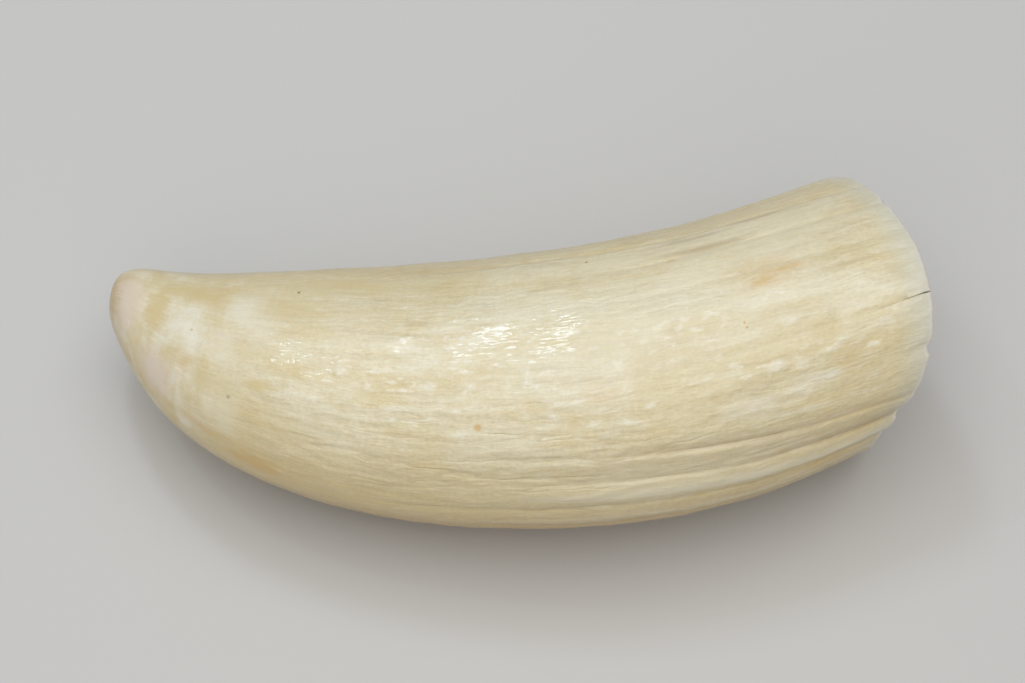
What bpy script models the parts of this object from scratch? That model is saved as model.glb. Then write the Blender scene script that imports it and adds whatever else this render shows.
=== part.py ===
"""A sperm whale tooth lying on its flatter side: worn tip at -X, open root at +X, bend in the XY plane.

The tooth is lofted from rings. A ring is given by its share of the way from tip to root, and a place on
it by its angle: 0 is the hollow edge (+Y), 90 the top, 180 the bulging edge (-Y) and 270 the underside.
Sizes are in millimetres and angles in degrees until the mesh is finished, which is in metres.
"""

import math

import bmesh
import bpy
import numpy as np
from mathutils import Vector, noise

MILLIMETRE = 0.001

# The two edges of the tooth seen from above, from the root to the tip
HOLLOW_EDGE = [(64.0, 32.3), (30.0, 19.9), (-5.0, 14.4), (-45.0, 12.5), (-68.0, 13.3), (-76.7, 12.7)]
BULGING_EDGE = [(67.0, -23.0), (52.0, -31.1), (25.0, -38.5), (-12.0, -38.9), (-45.0, -30.7), (-67.0, -15.9),
                (-77.2, 1.0)]
TIP = (-78.6, 7.3)

# Thickness over width of the rings: rounder at the very tip
TIP_ROUNDNESS = 0.86
ROOT_ROUNDNESS = 0.77
ROUND_UNTIL = 0.12

# How high the tip stands above the line that the tooth lies on
TIP_LIFT = 18.0
LIFTED_UNTIL = 0.50

# The wavy end of the root: how far its edge reaches past a flat cut, by angle
RIM_REACH = [(0, -4.5), (30, 0.4), (60, 5.6), (90, 10.4), (120, 11.4), (150, 7.8), (175, 2.4), (195, 1.6),
             (235, 6.0), (270, 8.0), (310, 3.0)]
REACH_FROM = 0.70

# Broken places in the edge of the root: angle, half width, depth
RIM_CHIPS = [(59, 4, 0.5), (129, 5, 0.8), (156, 4, 0.5), (174, 3, 0.8), (232, 6, 0.7), (301, 5, 0.6)]
CHIP_FLOOR = 0.4
RIM_RAGGEDNESS = 0.25
RAGGED_PLACES = 9.0

# The root's thin edge, from outside to inside: distance in from the skin, reach past the skin's end
RIM_STEPS = [(0.7, 0.35), (1.5, 0.30), (2.3, -0.80)]

# The open pulp hollow: a flattened cone that follows the bend, with a share of the skin's grooves
WALL = 2.3
HOLLOW_APEX = 0.62
HOLLOW_FLARE = 0.85
HOLLOW_RELIEF = 0.45

# Grooves that run along the tooth. Angles near the crown, at the middle and at the root's edge, depth,
# the shares of the length where it begins and is fully deep, and the height of the ridge after it.
# The tooth rests on the two ridges either side of the groove at 270.
GROOVES = [
    (12, 13, 12, 0.30, 0.50, 0.90, 0.10),
    (30, 31, 30, 0.40, 0.45, 0.80, 0.12),
    (47, 47, 46, 0.50, 0.35, 0.60, 0.12),
    (63, 63, 62, 0.40, 0.55, 0.85, 0.10),
    (79, 79, 77, 0.15, 0.40, 0.80, 0.12),
    (95, 95, 92, 0.15, 0.40, 0.80, 0.15),
    (111, 112, 106, 0.40, 0.30, 0.60, 0.15),
    (127, 127, 128, 0.45, 0.45, 0.65, 0.30),
    (140, 143, 149, 0.90, 0.42, 0.80, -0.20),
    (153, 155, 160, 1.40, 0.48, 0.80, 0.60),
    (171, 172, 174, 0.90, 0.35, 0.80, 0.25),
    (189, 189, 190, 0.45, 0.40, 0.75, 0.15),
    (205, 206, 206, 0.60, 0.42, 0.80, 0.20),
    (222, 222, 223, 0.30, 0.45, 0.80, 0.12),
    (244, 244, 243, 0.45, 0.22, 0.60, 0.40),
    (270, 270, 270, 0.35, 0.22, 0.60, 0.40),
    (295, 295, 296, 0.50, 0.35, 0.75, 0.15),
    (310, 311, 310, 0.25, 0.50, 0.85, 0.12),
    (323, 322, 323, 0.55, 0.42, 0.80, 0.18),
    (336, 337, 336, 0.30, 0.48, 0.85, 0.10),
    (348, 348, 349, 0.45, 0.45, 0.80, 0.12),
    (360, 360, 360, 0.25, 0.55, 0.90, 0.10),
]
GROOVE_AT = (0.35, 0.70, 1.0)
RIDGE_RISE = 0.30

# The crack that opens in the root's edge along one of the grooves, as a narrow slit
CRACK_GROOVE = 6
CRACK_FROM = 0.92
CRACK_NARROWS_OVER = 0.03
CRACK_DEPTH = 1.3
CRACK_HALF_WIDTH = 0.035

# Where the columns of points stand between one groove (0) and the next (1), and how deep the flanks lie
FLANKS = (0.0, 0.2, 0.5, 0.8)
FLANK_DEPTH = 0.3
COLUMNS = len(GROOVES) * len(FLANKS)

# Low lumps in the outer skin, none on the worn crown
LUMP_HEIGHT = 0.22
LUMP_LENGTH = 11.0
LUMPS_FROM, LUMPS_FULL = 0.15, 0.45

# Where the rings stand, each with the step between the columns that it uses: shares of the length for the
# skin, shares of the depth for the hollow. Both narrow to a point with fewer columns.
TIP_RINGS = [(0.006, 4), (0.016, 4), (0.030, 2), (0.048, 2), (0.070, 1), (0.100, 1)]
BODY_RINGS = [(share, 1) for share in np.linspace(0.132, 1.0, 28)]
HOLLOW_RINGS = [(0.14, 1), (0.26, 1), (0.37, 1), (0.48, 2), (0.59, 2), (0.70, 2), (0.80, 4), (0.90, 4)]

SHARP_EDGE = 40.0


def smooth_step(value, start, end):
    """Rises from 0 at start to 1 at end, level at both."""
    x = min(max((value - start) / (end - start), 0.0), 1.0)
    return x * x * (3.0 - 2.0 * x)


class SmoothCurve:
    """A natural cubic curve through points that stand at given places along it."""

    def __init__(self, places, points):
        self.places = np.asarray(places, float)
        self.points = np.asarray(points, float)
        gaps = np.diff(self.places)
        count = len(self.places)
        system = np.eye(count)
        turns = np.zeros_like(self.points)
        for i in range(1, count - 1):
            system[i, i - 1:i + 2] = gaps[i - 1], 2.0 * (gaps[i - 1] + gaps[i]), gaps[i]
            ahead = (self.points[i + 1] - self.points[i]) / gaps[i]
            behind = (self.points[i] - self.points[i - 1]) / gaps[i - 1]
            turns[i] = 6.0 * (ahead - behind)
        self.bends = np.linalg.solve(system, turns)

    def at(self, place):
        i = int(np.clip(np.searchsorted(self.places, place) - 1, 0, len(self.places) - 2))
        gap = self.places[i + 1] - self.places[i]
        after, before = place - self.places[i], self.places[i + 1] - place
        bend = (self.bends[i] * before ** 3 + self.bends[i + 1] * after ** 3) / (6.0 * gap)
        start = (self.points[i] / gap - self.bends[i] * gap / 6.0) * before
        end = (self.points[i + 1] / gap - self.bends[i + 1] * gap / 6.0) * after
        return bend + start + end


def outline():
    """The curve from the root along the hollow edge to the tip and back along the bulging edge, with the
    places of the tip and of its end."""
    points = np.array(HOLLOW_EDGE + [TIP] + BULGING_EDGE[::-1])
    steps = np.linalg.norm(np.diff(points, axis=0), axis=1)
    places = np.concatenate(([0.0], np.cumsum(steps)))
    return SmoothCurve(places, points), places[len(HOLLOW_EDGE)], places[-1]


def rim_curve():
    """The reach of the root's edge by angle, over three turns, so that the middle one closes smoothly."""
    turns = [(angle + turn, reach) for turn in (-360, 0, 360) for angle, reach in RIM_REACH]
    return SmoothCurve([angle for angle, _ in turns], [[reach] for _, reach in turns])


OUTLINE, TIP_PLACE, OUTLINE_END = outline()
RIM_CURVE = rim_curve()


class Ring:
    """The smooth ring at a share of the length: an ellipse that stands across the tooth."""

    def __init__(self, share):
        hollow = OUTLINE.at(TIP_PLACE * (1.0 - share))
        bulging = OUTLINE.at(TIP_PLACE + share * (OUTLINE_END - TIP_PLACE))
        width = np.linalg.norm(hollow - bulging)
        roundness = TIP_ROUNDNESS + (ROOT_ROUNDNESS - TIP_ROUNDNESS) * smooth_step(share, 0.0, ROUND_UNTIL)
        lift = TIP_LIFT * max(0.0, 1.0 - share / LIFTED_UNTIL) ** 2
        self.middle = (hollow + bulging) / 2.0
        self.across = (hollow - bulging) / width
        self.half_width = width / 2.0
        self.half_thickness = roundness * width / 2.0
        self.height = self.half_thickness + lift

    def point(self, angle, outwards=0.0, reach=0.0):
        """The point at an angle, moved outwards in the ring's plane and along the root's axis."""
        cosine, sine = math.cos(math.radians(angle)), math.sin(math.radians(angle))
        normal = np.array((cosine / self.half_width, sine / self.half_thickness))
        normal /= np.linalg.norm(normal)
        sideways = self.half_width * cosine + outwards * normal[0]
        upwards = self.half_thickness * sine + outwards * normal[1]
        flat = self.middle + self.across * sideways + ROOT_AXIS * reach
        return Vector((flat[0], flat[1], self.height + upwards))


ROOT = Ring(1.0)
ROOT_AXIS = np.array((ROOT.across[1], -ROOT.across[0]))


def rim_reach(angle):
    """How far the root's edge stands past a flat cut at an angle, with its chips and small raggedness."""
    angle = angle % 360.0
    reach = RIM_CURVE.at(angle)[0]
    for middle, half_width, depth in RIM_CHIPS:
        reach -= depth * (1.0 - smooth_step(abs(angle - middle), CHIP_FLOOR * half_width, half_width))
    around = math.radians(angle)
    place = Vector((math.cos(around), math.sin(around), 0.0)) * RAGGED_PLACES
    return reach + RIM_RAGGEDNESS * noise.noise(place)


def groove_angle(index, share):
    """The angle of a groove at a share of the length. The one after the last is the first, a turn on."""
    turn, number = divmod(index, len(GROOVES))
    return float(np.interp(share, GROOVE_AT, GROOVES[number][:3])) + 360.0 * turn


def groove_depth(index, share):
    number = index % len(GROOVES)
    depth, start, end = GROOVES[number][3:6]
    deep = depth * smooth_step(share, start, end)
    if number == CRACK_GROOVE:
        deep += (CRACK_DEPTH - depth) * smooth_step(share, CRACK_FROM, 1.0)
    return deep


def ridge_height(index, share):
    start, height = GROOVES[index][4], GROOVES[index][6]
    return height * smooth_step(share, start, start + RIDGE_RISE)


def column(number, share):
    """Angle and height over the smooth skin of one column of points at a share of the length."""
    index, flank = divmod(number, len(FLANKS))
    place = FLANKS[flank]
    if flank == 0:
        height = -groove_depth(index, share)
    elif flank == 2:
        height = ridge_height(index, share)
    else:
        height = -FLANK_DEPTH * groove_depth(index if flank == 1 else index + 1, share)
    if (index, flank) in ((CRACK_GROOVE, 1), (CRACK_GROOVE - 1, 3)):
        lip = CRACK_HALF_WIDTH if flank == 1 else 1.0 - CRACK_HALF_WIDTH
        narrow = smooth_step(share, CRACK_FROM - CRACK_NARROWS_OVER, CRACK_FROM + CRACK_NARROWS_OVER)
        place += (lip - place) * narrow
        height *= 1.0 - smooth_step(share, CRACK_FROM, 1.0)
    here, ahead = groove_angle(index, share), groove_angle(index + 1, share)
    return here + (ahead - here) * place, height


def lump(place, share):
    """The unevenness of the skin at a place on the smooth ring."""
    return LUMP_HEIGHT * noise.noise(place / LUMP_LENGTH) * smooth_step(share, LUMPS_FROM, LUMPS_FULL)


def skin_ring(bm, share, step):
    """A ring of the outer skin with its grooves, ridges and lumps."""
    ring = Ring(share)
    pull = max(0.0, (share - REACH_FROM) / (1.0 - REACH_FROM)) ** 2
    verts = []
    for number in range(0, COLUMNS, step):
        angle, height = column(number, share)
        height += lump(ring.point(angle), share)
        verts.append(bm.verts.new(ring.point(angle, height, pull * rim_reach(angle))))
    return verts


def rim_ring(bm, inwards, past):
    """A ring on the thin edge of the root, part of the way from the skin to the pulp hollow."""
    verts = []
    for number in range(COLUMNS):
        angle, height = column(number, 1.0)
        height *= 1.0 + (HOLLOW_RELIEF - 1.0) * inwards / WALL
        verts.append(bm.verts.new(ROOT.point(angle, height - inwards, rim_reach(angle) + past)))
    return verts


def hollow_ring(bm, depth, step):
    """A ring of the pulp hollow at a share of its depth. The wavy mouth evens out further in."""
    ring = Ring(1.0 + (HOLLOW_APEX - 1.0) * depth)
    size = (1.0 - depth) ** HOLLOW_FLARE
    ring.half_width = (ROOT.half_width - WALL) * size
    ring.half_thickness = (ROOT.half_thickness - WALL) * size
    verts = []
    for number in range(0, COLUMNS, step):
        angle, height = column(number, 1.0)
        reach = (rim_reach(angle) + RIM_STEPS[-1][1]) * (1.0 - depth) ** 2
        verts.append(bm.verts.new(ring.point(angle, HOLLOW_RELIEF * height * size, reach)))
    return verts


def join_rings(bm, first, second):
    """Faces between two rings, where one may have two points for each point of the other."""
    count = max(len(first), len(second))
    first_step, second_step = count // len(first), count // len(second)
    for i in range(count):
        corners = (first[i // first_step], first[(i + 1) // first_step % len(first)],
                   second[(i + 1) // second_step % len(second)], second[i // second_step])
        bm.faces.new(dict.fromkeys(corners))


def close_ring(bm, verts, point):
    """A fan of faces from a ring to one point."""
    for here, ahead in zip(verts, verts[1:] + verts[:1]):
        bm.faces.new((here, ahead, point))


def stand_on_origin(bm):
    """Turns millimetres to metres and puts the middle of the underside's box on the origin."""
    bmesh.ops.scale(bm, verts=bm.verts, vec=(MILLIMETRE,) * 3)
    places = np.array([vert.co[:] for vert in bm.verts])
    low, high = places.min(axis=0), places.max(axis=0)
    shift = Vector((-(low[0] + high[0]) / 2.0, -(low[1] + high[1]) / 2.0, -low[2]))
    bmesh.ops.translate(bm, verts=bm.verts, vec=shift)


def build_tooth():
    """The whole tooth as one closed mesh: tip, skin, root's edge, pulp hollow."""
    bm = bmesh.new()
    rings = [skin_ring(bm, share, step) for share, step in TIP_RINGS + BODY_RINGS]
    rings += [rim_ring(bm, inwards, past) for inwards, past in RIM_STEPS]
    rings += [hollow_ring(bm, depth, step) for depth, step in HOLLOW_RINGS]
    for first, second in zip(rings, rings[1:]):
        join_rings(bm, first, second)
    apex = Ring(HOLLOW_APEX)
    close_ring(bm, rings[0], bm.verts.new((*TIP, TIP_LIFT)))
    close_ring(bm, rings[-1], bm.verts.new((*apex.middle, apex.height)))
    bmesh.ops.triangulate(bm, faces=bm.faces, quad_method="BEAUTY")
    bmesh.ops.recalc_face_normals(bm, faces=bm.faces)
    stand_on_origin(bm)
    mesh = bpy.data.meshes.new("tooth")
    bm.to_mesh(mesh)
    bm.free()
    mesh.shade_smooth()
    mesh.set_sharp_from_angle(angle=math.radians(SHARP_EDGE))
    return mesh


def ivory():
    """Old cream ivory with a soft polish."""
    material = bpy.data.materials.new("ivory")
    material.use_nodes = True
    shader = material.node_tree.nodes["Principled BSDF"]
    shader.inputs["Base Color"].default_value = (0.66, 0.56, 0.38, 1.0)
    shader.inputs["Roughness"].default_value = 0.38
    shader.inputs["Metallic"].default_value = 0.0
    return material


def main():
    for old in list(bpy.data.objects):
        bpy.data.objects.remove(old, do_unlink=True)
    tooth = bpy.data.objects.new("tooth", build_tooth())
    tooth.data.materials.append(ivory())
    bpy.context.scene.collection.objects.link(tooth)


main()
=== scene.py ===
"""Finishes a packed sperm whale tooth for its picture: the grooved ivory tooth with its open root, a pale floor,
soft studio light and a camera.

The tooth is modelled from rings. A ring is given by its place: 0 at the tip, 1 at the end of the root, and on from
there over the root's edge and down the pulp hollow to 2 at the hollow's end. An angle on a ring is 0 at the hollow
edge (+Y), 90 at the top, 180 at the bulging edge (-Y) and 270 underneath. Tables are in millimetres and degrees,
the scene is in metres.
"""

import functools
import math

import bmesh
import bpy
import numpy as np
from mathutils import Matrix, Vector, noise


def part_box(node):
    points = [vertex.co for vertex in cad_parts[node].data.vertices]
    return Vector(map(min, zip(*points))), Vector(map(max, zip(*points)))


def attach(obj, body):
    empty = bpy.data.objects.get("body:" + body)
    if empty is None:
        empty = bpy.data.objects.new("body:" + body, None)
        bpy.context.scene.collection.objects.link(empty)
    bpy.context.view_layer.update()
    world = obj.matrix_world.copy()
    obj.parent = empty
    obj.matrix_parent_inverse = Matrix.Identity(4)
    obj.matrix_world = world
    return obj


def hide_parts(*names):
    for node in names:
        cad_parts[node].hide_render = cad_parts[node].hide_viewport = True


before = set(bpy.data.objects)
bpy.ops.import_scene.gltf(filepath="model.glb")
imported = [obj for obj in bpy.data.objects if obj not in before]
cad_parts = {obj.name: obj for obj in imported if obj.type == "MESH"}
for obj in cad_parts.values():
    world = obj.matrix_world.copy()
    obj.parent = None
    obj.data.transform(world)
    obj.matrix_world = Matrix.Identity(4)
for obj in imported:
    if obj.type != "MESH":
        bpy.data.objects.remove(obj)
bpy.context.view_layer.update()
CAD_LOW, CAD_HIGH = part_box("tooth")

bl_info = {
    "name": "Sperm whale tooth",
    "version": (1, 0, 0),
    "blender": (4, 5, 0),
    "location": "3D View > Sidebar > Whale tooth",
    "description": "Models a sperm whale tooth with its grooves, stains and open root, and a stage to show it on",
    "category": "Add Mesh",
}

MILLIMETRE = 0.001

# The two edges of the tooth seen from above, from the root to the tip
HOLLOW_EDGE = [(64, 32.3), (30, 19.9), (-5, 14.4), (-45, 12.5), (-68, 13.3), (-76.7, 12.7)]
BULGING_EDGE = [(67, -23), (52, -31.1), (25, -38.5), (-12, -38.9), (-45, -30.7), (-67, -15.9),
                (-77.2, 1)]
TIP = (-78.6, 7.3)
LENGTH = 157.0

# Thickness over width of the rings, and how high the tip stands above the line that the tooth lies on
TIP_ROUNDNESS, ROOT_ROUNDNESS, ROUND_UNTIL = 0.86, 0.77, 0.12
TIP_LIFT, LIFTED_UNTIL = 18.0, 0.50

# The wavy end of the root: how far its edge reaches past a flat cut, by angle
RIM_REACH = [(0, -4.5), (30, 0.4), (60, 5.6), (90, 10.4), (120, 11.4), (150, 7.8), (175, 2.4), (195, 1.6),
             (235, 6.0), (270, 8.0), (310, 3.0)]
REACH_FROM = 0.70

# Where the rings of the skin stand, closer at the worn tip and at the root's edge
SKIN_PLACES = [0.0035, 0.011, 0.022, 0.037, 0.056, 0.080, 0.108, *np.linspace(0.132, 0.970, 37), 0.986, 0.995, 1.0]

# The root's thin edge: place, distance in from the skin, reach past the skin's end
RIM_STEPS = [(1.004, 0.45, 0.40), (1.010, 1.00, 0.55), (1.016, 1.60, 0.30), (1.022, 2.05, -0.40)]

# The pulp hollow, a flattened cone that follows the bend: places of its rings, share of the length where it ends,
# and how it narrows
MOUTH, HOLLOW_END = 1.03, 2.0
HOLLOW_PLACES = (1.03, 1.10, 1.20, 1.32, 1.45, 1.58, 1.71, 1.83, 1.93)
HOLLOW_APEX = 0.62
HOLLOW_FLARE = 0.85
MOUTH_DEPTH = -1.3

# Grooves that run along the tooth: angles near the crown, at the middle, near the root's edge and at it, depth,
# reach of the gentle slope before and the steep one after, the shares of the length where it begins and is fully
# deep, and the height of the ridge after it
GROOVES = [
    (12, 13, 12, 12, 0.2, 1.6, 1, 0.5, 0.9, 0.04),
    (30, 31, 30, 30, 0.22, 1.4, 1, 0.45, 0.8, 0.05),
    (47, 47, 46, 46, 0.26, 1, 1.3, 0.35, 0.6, 0.05),
    (63, 63, 62, 62, 0.26, 1.4, 1, 0.5, 0.8, 0.06),
    (79, 79, 78, 77, 0.14, 1.6, 1.2, 0.45, 0.8, 0.05),
    (95, 95, 95, 92, 0.1, 1.6, 1.2, 0.45, 0.8, 0.06),
    (111, 112, 107, 106, 0.2, 1.6, 0.8, 0.3, 0.6, 0.08),
    (127, 127, 129, 128, 0.1, 1.8, 0.9, 0.45, 0.65, 0.08),
    (141, 143, 148, 150, 0.4, 2.8, 1, 0.4, 0.84, -0.25),
    (153, 155, 159, 160, 0.6, 3, 1.1, 0.44, 0.92, 0.4),
    (170, 170, 174, 174, 0.38, 2.4, 1, 0.35, 0.7, 0.25),
    (189, 189, 190, 190, 0.24, 1.8, 0.9, 0.4, 0.75, 0.1),
    (205, 206, 206, 206, 0.4, 2, 1, 0.42, 0.8, 0.15),
    (222, 222, 223, 223, 0.25, 1.8, 1, 0.45, 0.8, 0.1),
    (244, 244, 243, 243, 0.35, 2.2, 1.6, 0.22, 0.6, 0.4),
    (270, 270, 270, 270, 0.3, 2.2, 1.6, 0.22, 0.6, 0.4),
    (295, 295, 296, 296, 0.4, 1.4, 2, 0.35, 0.75, 0.12),
    (310, 311, 310, 310, 0.25, 1, 1.6, 0.5, 0.85, 0.08),
    (323, 322, 323, 323, 0.4, 1, 2, 0.42, 0.8, 0.12),
    (336, 337, 336, 336, 0.22, 1, 1.6, 0.48, 0.85, 0.08),
    (348, 348, 349, 349, 0.3, 1, 1.8, 0.45, 0.8, 0.08),
    (360, 360, 360, 360, 0.2, 1.2, 1.5, 0.55, 0.9, 0.05),
]

# Grooves: shares of the length at their four angles, how pointed the floor is, the wander in degrees and its
# length, how uneven the depth is, and over what share of the length the ridge rises
GROOVE_AT = (0.35, 0.70, 0.94, 1.0)
GROOVE_SHARPNESS = 2.0
GROOVE_WANDER, WANDER_LENGTH = 0.9, 16.0
GROOVE_UNEVENNESS = 0.45
RIDGE_RISE = 0.30

# The rings' points stand this many to a groove, and each square between them is halved this many times
COLUMNS_PER_GROOVE = 4
COLUMNS = COLUMNS_PER_GROOVE * len(GROOVES)
HALVINGS = 2

# How near a ring's place its points are, the least length to divide by, the distance between seeds of noise, and
# the angle of a sharp edge
PLACE_TOLERANCE, LEAST_LENGTH = 1e-4, 1e-4
NOISE_STEP = 7.31
SHARP_EDGE = math.radians(50.0)

# The straightened tooth, which noises and stains follow: its radius, its length down the hollow, and the
# hollow's share of the relief
GRAIN_RADIUS = 24.0
HOLLOW_LENGTH = 62.0
HOLLOW_RELIEF = 0.45

# Broken places in the edge of the root: angle, half width, depth
RIM_CHIPS = [(43, 3, 0.25), (62, 3, 0.45), (129, 3, 0.7), (160, 4, 0.5), (232, 6, 0.7), (262, 3, 0.4),
             (301, 5, 0.6), (338, 4, 0.5)]

# The flat share of a chip, where on the skin and in the hollow the broken edge ends, and its small raggedness:
# height, size on a circle of radius 1, seed
CHIP_FLOOR = 0.4
CHIPS_FROM, CHIPS_INTO_HOLLOW = 0.975, 0.12
RIM_RAGGEDNESS = [(0.16, 0.16, 1), (0.07, 0.05, 2)]

# The crack in the root's edge, along a groove: how far it goes right through, stays a fine line and shows, its
# depth, the share of its width and of its painted shade at the far end, and how many columns it clears of grooves
CRACK_GROOVE = 6
CRACK_THROUGH, CRACK_FINE, CRACK_SHOWS = 2.2, 3.0, 12.0
CRACK_DEPTH = 0.35
CRACK_NARROW, CRACK_LINE_DARK = 0.35, 0.25
CRACK_CLEARS = 8.0

# The noises of the fine relief: size along and twice across the grain, in millimetres, and seed
FIBRES, FINE_FIBRES = ((17.0, 1.9, 1.9), 5), ((8.0, 1.0, 1.0), 6)
BEADS, BEAD_PATCHES = ((2.1, 1.3, 1.3), 4), ((24.0, 8.0, 8.0), 3)
LUMPS, DENTS = ((11.0, 11.0, 11.0), 0), ((5.0, 5.0, 5.0), 7)

# Fibres: where along the tooth they set in, how far they stand up, the share of the fine ones, and how much they
# count in the relief that the colour follows
FIBRES_FROM, FIBRE_RAISE, FINE_FIBRE_SHARE, FIBRES_SHOW = (0.12, 0.45), 0.25, 0.5, 0.12

# Beads: where they set in, how much of them is left between patches, and how much they fade towards the hollow
# edge, and over which millimetres
BEADS_FROM, BEADS_LEAST = (0.18, 0.38), 0.6
BEADS_FADE, BEADS_FADE_OVER = 0.6, (-8.0, 1.0)

# Depth of the dents, in millimetres
DENT_DEPTH = 0.055

# The ivory's noises: size of a patch along and across the grain in millimetres, detail, shift, and where it isn't
# the usual one, roughness and distortion
NOISES = {
    "mottle": (26, 11, 3, 1),
    "warmth": (16, 6, 4, 2, 0.6),
    "streaks": (15, 1.1, 4, 3, 0.6),
    "fibres": (7, 0.35, 2, 4),
    "flecks": (2.2, 1.2, 2, 5),
    "rows": (26, 1.6, 1, 13),
    "growth": (0.9, 8, 2, 6, 0.5, 0.5),
    "grit": (0.7, 0.4, 2, 17),
    "wrinkle": (34, 3, 2, 14),
    "patches": (16, 7, 2, 15),
    "tip_bands": (4.5, 9, 3, 7, 0.5, 0.4),
    "stain_edge": (2.4, 1.2, 3, 0, 0.6),
    "rings": (2.2, 40, 3, 8),
    "net": (1.1, 0.7, 2, 10),
    "threads": (5, 0.42, 2, 11),
    "dashes": (2.2, 0.5, 0, 12),
}

# Which of them lie on grain that wanders, over how many millimetres, and the noise that it wanders by
WAVY_NOISES = ("streaks", "fibres", "rows", "wrinkle", "threads")
WOBBLE, WOBBLE_NOISE = 2.0, (8.0, 8.0, 2.0, 16.0)

# Where a finish shows: the measure that a zone follows, where on that it begins and is complete, and its strength
# at both if that isn't 0 and 1. Some zones are where others meet.
ZONES = {
    "body": ("along", 12, 50),
    "tip": ("along", 24, 46, 0.65, 0),
    "polished": ("along", 14, 85, 0.1, 1),
    "off_tip": ("along", 38, 80),
    "off_root": ("along", LENGTH - 6, LENGTH - 34, 0.55, 1),
    "outside": ("along", LENGTH + 1.2, LENGTH + 3, 1, 0),
    "off_top": ("upward", GRAIN_RADIUS, 0.72 * GRAIN_RADIUS, 0.25, 1),
    "lit_edge": ("upward", -8, 20, 0.25, 0.8),
    "off_hollow": ("inward", 0.50 * GRAIN_RADIUS, 0, 0.2, 1),
    "off_bulge": ("inward", -0.85 * GRAIN_RADIUS, -0.45 * GRAIN_RADIUS, 0.15, 1),
    "in_rows": ("rows", 0.42, 0.6),
    "in_patches": ("patches", 0.36, 0.6),
}
MEETING_ZONES = {
    "skin": ("off_tip", "off_root"),
    "flecked": ("skin", "off_hollow", "off_bulge", "in_rows"),
    "wrinkled": ("off_top", "skin", "in_patches"),
    "beads": ("beads", "off_bulge"),
}

# Layers of colour, each over the one before: colour, the measure that it follows, where on that it begins and is
# complete, its strength there, and the zone that it keeps to, if any
SKIN_LAYERS = [
    ("pale", "mottle", 0.35, 0.65, 1),
    ("yellow", "warmth", 0.4, 0.68, 0.68),
    # Painted shade: yellower and darker from the top towards both edges and underneath, over some real yellowing
    ("yellow", "upward", 24, 2, 0.85),
    # Painted shade: tan underneath
    ("tan", "upward", 6, -12, 0.75),
    ("tan", "streaks", 0.48, 0.74, 0.3, "body"),
    ("white", "streaks", 0.46, 0.26, 0.3),
    ("white", "flecks", 0.5, 0.7, 0.62, "flecked"),
    # The beads' tops paler and their dips yellower: partly their own colour, partly painted highlight and painted
    # shade of their relief
    ("white", "beads", 0.05, 0.5, 0.4),
    ("yellow", "beads", -0.08, -0.5, 0.3),
    ("tan", "wrinkle", 0.035, 0, 0.36, "wrinkled"),
]
TIP_LAYERS = [("white", "tip_bands", 0.3, 0.78, 1)]
RELIEF_LAYERS = [
    ("tan", "relief", -0.08, -0.5, 0.7),
    ("white", "relief", 0.1, 0.55, 0.55),
]
EDGE_LAYERS = [
    ("edge", "ragged_along", LENGTH - 3.5, LENGTH + 3, 1, "lit_edge"),
    ("rim", "along", LENGTH - 0.5, LENGTH, 0.9),
]
EDGE_WANDER = 4.0

# The fine shading, a weighted sum of noises between a dark and a light colour, the hollow's dark bands, the
# strength of the crack's painted shade, and how ragged stains and bands of painted shade are
SHADE_PARTS = {"fibres": 0.34, "growth": 0.18, "grit": 0.48}
SHADE_LOW, SHADE_HIGH = (0.75, 0.73, 0.60, 1.0), (1.25, 1.27, 1.40, 1.0)
HOLLOW_BANDS, HOLLOW_SHADE = (0.4, 0.62), 0.7
CRACK_STRENGTH = 0.95
PATCH_UNEVENNESS = 1.1

# Roughness is a sum of parts: measure, where on that it begins and is complete, and its value at both
ROUGHNESS_PARTS = [
    ("warmth", 0.3, 0.7, 0.34, 0.46),
    ("relief", -0.1, -0.8, 0, 0.25),
    ("along", LENGTH + 0.5, LENGTH + 3, 0, 0.25),
]

# Bumps: a weighted sum of noises, the wrinkles' profile, and heights in metres below and in the polish
BUMP_PARTS = {"net": 0.85, "threads": 0.60}
WRINKLE_VALLEY = (0.07, 0.0, 0.0, 0.6)
BUMP_HEIGHT, GLOSS_HEIGHT = 0.00014, 0.000075

# A Mix node's colour sockets by number, because they share their names
MIX_FACTOR, MIX_FIRST, MIX_SECOND, MIX_RESULT = 0, 6, 7, 2
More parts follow.
